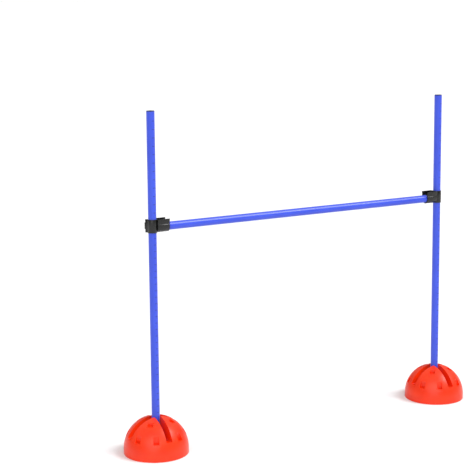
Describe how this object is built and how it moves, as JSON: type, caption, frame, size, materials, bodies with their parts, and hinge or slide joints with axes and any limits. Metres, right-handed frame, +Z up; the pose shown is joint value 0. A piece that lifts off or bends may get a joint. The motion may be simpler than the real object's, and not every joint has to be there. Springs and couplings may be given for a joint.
{
  "type": "agility hurdle",
  "caption": "Free-standing jump for dog training: upright poles in slotted dome bases, sliding clips and a crossbar that lifts out of open cradles.",
  "frame": {"origin": "on the ground, midway between the two poles", "axes": "+X along the crossbar from the left pole to the right pole, +Y towards the side the pole grips open to, +Z up"},
  "size_m": [1.28, 0.2, 1.0501],
  "materials": {
    "base_shell": "smooth moulded plastic with a soft gloss",
    "tube": "extruded plastic tube, satin gloss, with a printed height scale on the poles",
    "black_fitting": "moulded black plastic with a fine texture"
  },
  "bodies": {
    "bases": {"dome_base_left": "base_shell", "dome_base_right": "base_shell"},
    "left_pole": {"pole_left": "tube", "pole_top_plug_left": "black_fitting", "pole_foot_plug_left": "black_fitting"},
    "right_pole": {"pole_right": "tube", "pole_top_plug_right": "black_fitting", "pole_foot_plug_right": "black_fitting"},
    "left_clip": {"pole_clip_left": "black_fitting"},
    "right_clip": {"pole_clip_right": "black_fitting"},
    "bar": {"crossbar": "tube", "bar_sleeve_left": "black_fitting", "bar_sleeve_right": "black_fitting"}
  },
  "joints": [
    {"name": "left_pole_lift", "type": "slide", "parent": "bases", "child": "left_pole", "axis": [0, 0, 1], "range_m": [0, 0.12]},
    {"name": "right_pole_lift", "type": "slide", "parent": "bases", "child": "right_pole", "axis": [0, 0, 1], "range_m": [0, 0.12]},
    {"name": "left_clip_height", "type": "slide", "parent": "left_pole", "child": "left_clip", "axis": [0, 0, 1], "range_m": [-0.55, 0.32]},
    {"name": "right_clip_height", "type": "slide", "parent": "right_pole", "child": "right_clip", "axis": [0, 0, 1], "range_m": [-0.55, 0.32]},
    {"name": "bar_lift", "type": "slide", "parent": "left_clip", "child": "bar", "axis": [0, 0, 1], "range_m": [0, 0.08]}
  ],
  "couplings": [
    {"joint": "right_pole_lift", "follows": "left_pole_lift", "ratio": 1},
    {"joint": "right_clip_height", "follows": "left_clip_height", "ratio": 1}
  ]
}
